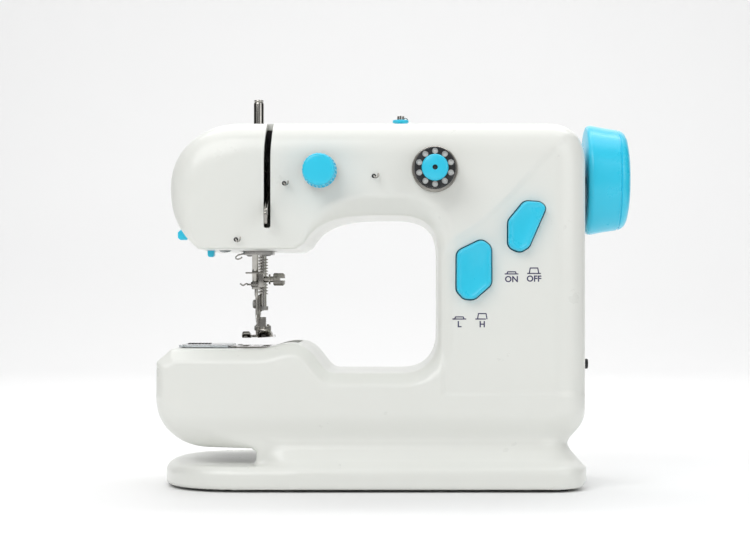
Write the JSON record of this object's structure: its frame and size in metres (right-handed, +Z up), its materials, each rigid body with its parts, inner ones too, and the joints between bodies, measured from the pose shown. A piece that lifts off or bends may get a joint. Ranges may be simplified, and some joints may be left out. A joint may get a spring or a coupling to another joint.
{
  "type": "sewing machine",
  "caption": "Compact free-arm sewing machine with a rounded head, handwheel, tension dial, presser foot, bobbin on the front and slanted push buttons.",
  "frame": {"origin": "on the table, under the middle of the machine's box", "axes": "+X from the needle end to the handwheel, +Y from the operator's side to the back, +Z up"},
  "size_m": [0.2056, 0.108, 0.1716],
  "materials": {
    "white_casing": "satin white moulding",
    "cyan_plastic": "glossy light blue",
    "black_plastic": "black moulding",
    "frame_plastic": "dark filled plastic",
    "clear_plastic": "clear moulding",
    "chrome_metal": "nickel plated",
    "steel_metal": "turned steel",
    "brass_metal": "turned brass",
    "rubber": "matte black rubber",
    "thread": "wound white thread"
  },
  "bodies": {
    "machine": {"front_shell": "white_casing", "rear_shell": "white_casing", "bottom_plate": "white_casing", "spool_pin_sleeve": "white_casing", "thread_cutter": "cyan_plastic", "battery_pack": "black_plastic", "bobbin_case": "black_plastic", "dc_jack": "black_plastic", "inner_frame": "frame_plastic", "circuit_board": "frame_plastic", "work_lamp": "clear_plastic", "tension_disc_inner": "chrome_metal", "tension_disc_outer": "chrome_metal", "thread_guide_right": "chrome_metal", "thread_guide_middle": "chrome_metal", "thread_guide_lower": "chrome_metal", "bobbin_spindle": "chrome_metal", "needle_plate": "chrome_metal", "drive_motor": "steel_metal", "bushing_plate": "steel_metal", "tension_stud": "steel_metal", "case_screw_upper": "steel_metal", "case_screw_lower": "steel_metal", "rubber_foot_front_left": "rubber", "rubber_foot_front_right": "rubber", "rubber_foot_rear_left": "rubber", "rubber_foot_rear_right": "rubber", "motor_belt": "rubber", "timing_belt": "rubber"},
    "handwheel_set": {"handwheel": "cyan_plastic", "main_shaft": "steel_metal", "crank_disc": "steel_metal"},
    "motor_rotor": {"motor_pulley": "brass_metal"},
    "lower_drive": {"lower_shaft": "steel_metal"},
    "rotating_hook": {"hook": "steel_metal"},
    "lower_bobbin_body": {"lower_bobbin": "clear_plastic"},
    "needle_bar_set": {"needle_bar": "chrome_metal", "needle_clamp": "chrome_metal", "needle": "chrome_metal", "connecting_rod": "steel_metal"},
    "clamp_screw_body": {"clamp_screw": "chrome_metal"},
    "take_up": {"take_up_lever": "chrome_metal"},
    "feed": {"feed_dog": "steel_metal"},
    "presser_bar_set": {"presser_bar": "chrome_metal", "presser_spring": "chrome_metal", "ankle": "chrome_metal", "ankle_screw": "chrome_metal"},
    "presser_foot_body": {"presser_foot": "chrome_metal"},
    "lifter": {"presser_lifter": "white_casing"},
    "tension_knob_body": {"tension_knob": "cyan_plastic"},
    "upper_bobbin": {"front_bobbin": "black_plastic", "bobbin_thread": "thread", "spindle_cap": "cyan_plastic"},
    "winder": {"bobbin_winder": "cyan_plastic"},
    "spool_pin_body": {"spool_pin": "chrome_metal"},
    "slide_cover_body": {"slide_cover": "clear_plastic"},
    "battery_cover_body": {"battery_cover": "white_casing"},
    "on_off_body": {"on_off_button": "cyan_plastic"},
    "speed_body": {"speed_button": "cyan_plastic"},
    "lamp_switch_body": {"lamp_switch": "cyan_plastic"}
  },
  "joints": [
    {"name": "handwheel_spin", "type": "hinge", "parent": "machine", "child": "handwheel_set", "pos_m": [0.0878, 0, 0.134], "axis": [1, 0, 0], "continuous": true},
    {"name": "motor_spin", "type": "hinge", "parent": "machine", "child": "motor_rotor", "pos_m": [0.0649, -0.011, 0.033], "axis": [1, 0, 0], "continuous": true},
    {"name": "lower_shaft_spin", "type": "hinge", "parent": "machine", "child": "lower_drive", "pos_m": [-0.0022, 0.0125, 0.034], "axis": [1, 0, 0], "continuous": true},
    {"name": "hook_spin", "type": "hinge", "parent": "machine", "child": "rotating_hook", "pos_m": [-0.0794, 0, 0.04], "axis": [0, 0, 1], "continuous": true},
    {"name": "lower_bobbin_spin", "type": "hinge", "parent": "machine", "child": "lower_bobbin_body", "pos_m": [-0.0794, 0, 0.048], "axis": [0, 0, 1], "continuous": true},
    {"name": "needle_bar_slide", "type": "slide", "parent": "machine", "child": "needle_bar_set", "axis": [0, 0, 1], "range_m": [-0.018, 0]},
    {"name": "clamp_screw_turn", "type": "hinge", "parent": "needle_bar_set", "child": "clamp_screw_body", "pos_m": [-0.0552, 0, 0.09], "axis": [1, 0, 0], "range_deg": [0, 360]},
    {"name": "take_up_swing", "type": "hinge", "parent": "machine", "child": "take_up", "pos_m": [-0.05485, -0.012, 0.137], "axis": [-1, 0, 0], "range_deg": [0, 56.2]},
    {"name": "feed_slide", "type": "slide", "parent": "machine", "child": "feed", "axis": [0, 1, 0], "range_m": [0, 0.0023]},
    {"name": "presser_lift", "type": "hinge", "parent": "machine", "child": "lifter", "pos_m": [-0.0603, 0.043, 0.113], "axis": [0, 1, 0], "range_deg": [0, 75]},
    {"name": "presser_bar_slide", "type": "slide", "parent": "machine", "child": "presser_bar_set", "axis": [0, 0, 1], "range_m": [-0.0036, 0], "deforming": ["presser_spring"]},
    {"name": "foot_tilt", "type": "hinge", "parent": "presser_bar_set", "child": "presser_foot_body", "pos_m": [-0.0603, 0.0052, 0.0683], "axis": [1, 0, 0], "range_deg": [-12, 0]},
    {"name": "tension_turn", "type": "hinge", "parent": "machine", "child": "tension_knob_body", "pos_m": [-0.0324, -0.048, 0.1355], "axis": [0, 1, 0], "range_deg": [-360, 360]},
    {"name": "upper_bobbin_spin", "type": "hinge", "parent": "machine", "child": "upper_bobbin", "pos_m": [0.0162, -0.046, 0.1364], "axis": [0, 1, 0], "continuous": true},
    {"name": "winder_spin", "type": "hinge", "parent": "machine", "child": "winder", "pos_m": [0.0014, 0.004, 0.16], "axis": [0, 0, 1], "continuous": true},
    {"name": "spool_pin_slide", "type": "slide", "parent": "machine", "child": "spool_pin_body", "axis": [0, 0, 1], "range_m": [0, 0.03]},
    {"name": "slide_cover_slide", "type": "slide", "parent": "machine", "child": "slide_cover_body", "axis": [-1, 0, 0], "range_m": [0, 0.012]},
    {"name": "battery_cover_slide", "type": "slide", "parent": "machine", "child": "battery_cover_body", "axis": [1, 0, 0], "range_m": [0, 0.01]},
    {"name": "on_off_press", "type": "slide", "parent": "machine", "child": "on_off_body", "axis": [0, 1, 0], "range_m": [0, 0.003], "stiffness_N_per_m": 150},
    {"name": "speed_press", "type": "slide", "parent": "machine", "child": "speed_body", "axis": [0, 1, 0], "range_m": [0, 0.003], "stiffness_N_per_m": 150},
    {"name": "lamp_switch_rock", "type": "hinge", "parent": "machine", "child": "lamp_switch_body", "pos_m": [-0.0816, -0.009, 0.1035], "axis": [0, 1, 0], "range_deg": [-8, 8]}
  ],
  "couplings": [
    {"joint": "motor_spin", "follows": "handwheel_spin", "ratio": 4},
    {"joint": "lower_shaft_spin", "follows": "handwheel_spin", "ratio": 1},
    {"joint": "hook_spin", "follows": "handwheel_spin", "ratio": -1},
    {"joint": "take_up_swing", "follows": "needle_bar_slide", "rad_per_m": -54.3},
    {"joint": "feed_slide", "follows": "needle_bar_slide", "ratio": -0.122},
    {"joint": "presser_bar_slide", "follows": "presser_lift", "m_per_rad": -0.0026738}
  ]
}
